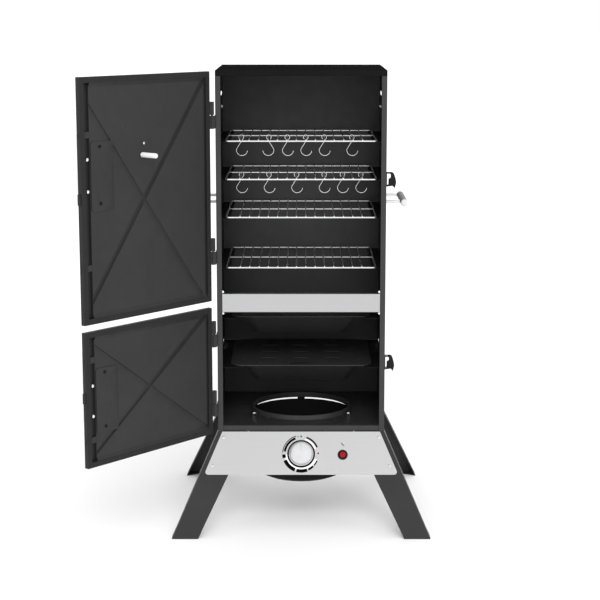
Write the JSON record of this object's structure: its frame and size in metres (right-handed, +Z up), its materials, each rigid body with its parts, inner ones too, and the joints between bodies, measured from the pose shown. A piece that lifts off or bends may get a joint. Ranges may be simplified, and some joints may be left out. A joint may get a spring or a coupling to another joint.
{
  "type": "gas cabinet smoker",
  "caption": "Upright two-door cabinet smoker on splayed legs, doors standing open on wire racks, hanging hooks, a water pan, a chip tray, a round gas burner and its control panel.",
  "frame": {"origin": "on the ground, at the middle of the whole footprint with both doors standing open", "axes": "+Z up, -Y out of the front of the cabinet, +X to the right when facing the front"},
  "size_m": [0.8348, 0.8112, 1.1546],
  "materials": {
    "black_enamel": "black baked enamel with a fine orange-peel texture, semi-gloss",
    "dark_roof": "darker black baked enamel, semi-gloss",
    "black_steel": "black powder coat, satin",
    "stainless": "brushed stainless steel",
    "chrome": "bright chrome plating",
    "cast_iron": "rough black cast iron",
    "brass": "machined brass",
    "grip": "mid grey moulded grip with lighter end caps",
    "knob": "satin silver plating over a moulded dial",
    "red_plastic": "glossy red moulding",
    "black_plastic": "satin black moulding",
    "ceramic": "off-white glazed ceramic"
  },
  "bodies": {
    "cabinet": {"burner_bowl": "black_enamel", "cabinet_floor": "black_enamel", "cabinet_wrap": "black_enamel", "center_rail": "stainless", "control_panel": "stainless", "front_leg_left": "black_steel", "front_leg_right": "black_steel", "gas_burner": "cast_iron", "gas_valve": "brass", "igniter_body": "black_plastic", "igniter_electrode": "ceramic", "lower_hinge_1_cabinet_leaf": "black_steel", "lower_hinge_2_cabinet_leaf": "black_steel", "rack_rail_left": "black_steel", "rack_rail_right": "black_steel", "rear_leg_left": "black_steel", "rear_leg_right": "black_steel", "roof_panel": "dark_roof", "side_grip_left": "grip", "side_grip_right": "grip", "side_handle_posts_left": "chrome", "side_handle_posts_right": "chrome", "upper_hinge_1_cabinet_leaf": "black_steel", "upper_hinge_2_cabinet_leaf": "black_steel"},
    "upper_door": {"upper_door_handle": "stainless", "upper_door_liner": "black_enamel", "upper_door_skin": "black_enamel", "upper_hinge_1_door_leaf": "black_steel", "upper_hinge_2_door_leaf": "black_steel", "thermometer": "stainless"},
    "lower_door": {"lower_door_handle": "stainless", "lower_door_liner": "black_enamel", "lower_door_skin": "black_enamel", "lower_hinge_1_door_leaf": "black_steel", "lower_hinge_2_door_leaf": "black_steel"},
    "chip_tray": {"chip_tray": "black_enamel"},
    "chip_tray_lid": {"chip_tray_lid": "black_enamel"},
    "control_knob": {"control_knob": "knob"},
    "hook_1_1": {"hook_1_1": "chrome"},
    "hook_1_2": {"hook_1_2": "chrome"},
    "hook_1_3": {"hook_1_3": "chrome"},
    "hook_1_4": {"hook_1_4": "chrome"},
    "hook_1_5": {"hook_1_5": "chrome"},
    "hook_1_6": {"hook_1_6": "chrome"},
    "hook_2_1": {"hook_2_1": "chrome"},
    "hook_2_2": {"hook_2_2": "chrome"},
    "hook_2_3": {"hook_2_3": "chrome"},
    "hook_2_4": {"hook_2_4": "chrome"},
    "hook_2_5": {"hook_2_5": "chrome"},
    "hook_2_6": {"hook_2_6": "chrome"},
    "igniter_button": {"igniter_button": "red_plastic"},
    "rack_1": {"rack_1": "chrome"},
    "rack_2": {"rack_2": "chrome"},
    "rack_3": {"rack_3": "chrome"},
    "rack_4": {"rack_4": "chrome"},
    "vent_damper_left": {"vent_damper_left": "chrome"},
    "vent_damper_right": {"vent_damper_right": "chrome"},
    "water_pan": {"water_pan": "black_enamel"},
    "upper_latch": {"upper_latch_lever": "black_plastic"},
    "lower_latch": {"lower_latch_lever": "black_plastic"}
  },
  "joints": [
    {"name": "upper_door_hinge", "type": "hinge", "parent": "cabinet", "child": "upper_door", "pos_m": [-0.12307, -0.07586, 0.8784], "axis": [0, 0, 1], "range_deg": [-45, 131]},
    {"name": "lower_door_hinge", "type": "hinge", "parent": "cabinet", "child": "lower_door", "pos_m": [-0.12307, -0.07586, 0.41245], "axis": [0, 0, 1], "range_deg": [-45, 131]},
    {"name": "rack_1_slide", "type": "slide", "parent": "cabinet", "child": "rack_1", "axis": [0, 1, 0], "range_m": [-0.3, 0]},
    {"name": "rack_2_slide", "type": "slide", "parent": "cabinet", "child": "rack_2", "axis": [0, 1, 0], "range_m": [-0.3, 0]},
    {"name": "rack_3_slide", "type": "slide", "parent": "cabinet", "child": "rack_3", "axis": [0, 1, 0], "range_m": [-0.3, 0]},
    {"name": "rack_4_slide", "type": "slide", "parent": "cabinet", "child": "rack_4", "axis": [0, 1, 0], "range_m": [-0.3, 0]},
    {"name": "hook_1_1_swing", "type": "hinge", "parent": "rack_1", "child": "hook_1_1", "pos_m": [-0.05702, 0.05765, 0.9841], "axis": [0, 1, 0], "range_deg": [-20, 20]},
    {"name": "hook_1_2_swing", "type": "hinge", "parent": "rack_1", "child": "hook_1_2", "pos_m": [0.01288, 0.05765, 0.9841], "axis": [0, 1, 0], "range_deg": [-20, 20]},
    {"name": "hook_1_3_swing", "type": "hinge", "parent": "rack_1", "child": "hook_1_3", "pos_m": [0.05948, 0.05765, 0.9841], "axis": [0, 1, 0], "range_deg": [-20, 20]},
    {"name": "hook_1_4_swing", "type": "hinge", "parent": "rack_1", "child": "hook_1_4", "pos_m": [0.10608, 0.05765, 0.9841], "axis": [0, 1, 0], "range_deg": [-20, 20]},
    {"name": "hook_1_5_swing", "type": "hinge", "parent": "rack_1", "child": "hook_1_5", "pos_m": [0.15268, 0.05765, 0.9841], "axis": [0, 1, 0], "range_deg": [-20, 20]},
    {"name": "hook_1_6_swing", "type": "hinge", "parent": "rack_1", "child": "hook_1_6", "pos_m": [0.22258, 0.05765, 0.9841], "axis": [0, 1, 0], "range_deg": [-20, 20]},
    {"name": "hook_2_1_swing", "type": "hinge", "parent": "rack_2", "child": "hook_2_1", "pos_m": [-0.05702, 0.05765, 0.8896], "axis": [0, 1, 0], "range_deg": [-20, 20]},
    {"name": "hook_2_2_swing", "type": "hinge", "parent": "rack_2", "child": "hook_2_2", "pos_m": [0.01288, 0.05765, 0.8896], "axis": [0, 1, 0], "range_deg": [-20, 20]},
    {"name": "hook_2_3_swing", "type": "hinge", "parent": "rack_2", "child": "hook_2_3", "pos_m": [0.08278, 0.05765, 0.8896], "axis": [0, 1, 0], "range_deg": [-20, 20]},
    {"name": "hook_2_4_swing", "type": "hinge", "parent": "rack_2", "child": "hook_2_4", "pos_m": [0.15268, 0.05765, 0.8896], "axis": [0, 1, 0], "range_deg": [-20, 20]},
    {"name": "hook_2_5_swing", "type": "hinge", "parent": "rack_2", "child": "hook_2_5", "pos_m": [0.19928, 0.05765, 0.8896], "axis": [0, 1, 0], "range_deg": [-20, 20]},
    {"name": "hook_2_6_swing", "type": "hinge", "parent": "rack_2", "child": "hook_2_6", "pos_m": [0.24588, 0.05765, 0.8896], "axis": [0, 1, 0], "range_deg": [-20, 20]},
    {"name": "water_pan_slide", "type": "slide", "parent": "cabinet", "child": "water_pan", "axis": [0, 1, 0], "range_m": [-0.3, 0]},
    {"name": "chip_tray_slide", "type": "slide", "parent": "cabinet", "child": "chip_tray", "axis": [0, 1, 0], "range_m": [-0.3, 0]},
    {"name": "chip_tray_lid_lift", "type": "slide", "parent": "chip_tray", "child": "chip_tray_lid", "axis": [0, 0, 1], "range_m": [0, 0.03]},
    {"name": "control_knob_turn", "type": "hinge", "parent": "cabinet", "child": "control_knob", "pos_m": [0.09443, -0.09131, 0.19618], "axis": [0, -0.9107, 0.4131], "range_deg": [-270, 0]},
    {"name": "igniter_button_press", "type": "slide", "parent": "cabinet", "child": "igniter_button", "axis": [0, 0.9107, -0.4131], "range_m": [0, 0.004], "stiffness_N_per_m": 800},
    {"name": "vent_damper_left_slide", "type": "slide", "parent": "cabinet", "child": "vent_damper_left", "axis": [0, 0, 1], "range_m": [0, 0.023]},
    {"name": "vent_damper_right_slide", "type": "slide", "parent": "cabinet", "child": "vent_damper_right", "axis": [0, 0, 1], "range_m": [0, 0.023]},
    {"name": "upper_latch_turn", "type": "hinge", "parent": "cabinet", "child": "upper_latch", "pos_m": [0.30443, -0.05335, 0.876], "axis": [1, 0, 0], "range_deg": [0, 90]},
    {"name": "lower_latch_turn", "type": "hinge", "parent": "cabinet", "child": "lower_latch", "pos_m": [0.30443, -0.05335, 0.414], "axis": [1, 0, 0], "range_deg": [0, 90]}
  ]
}
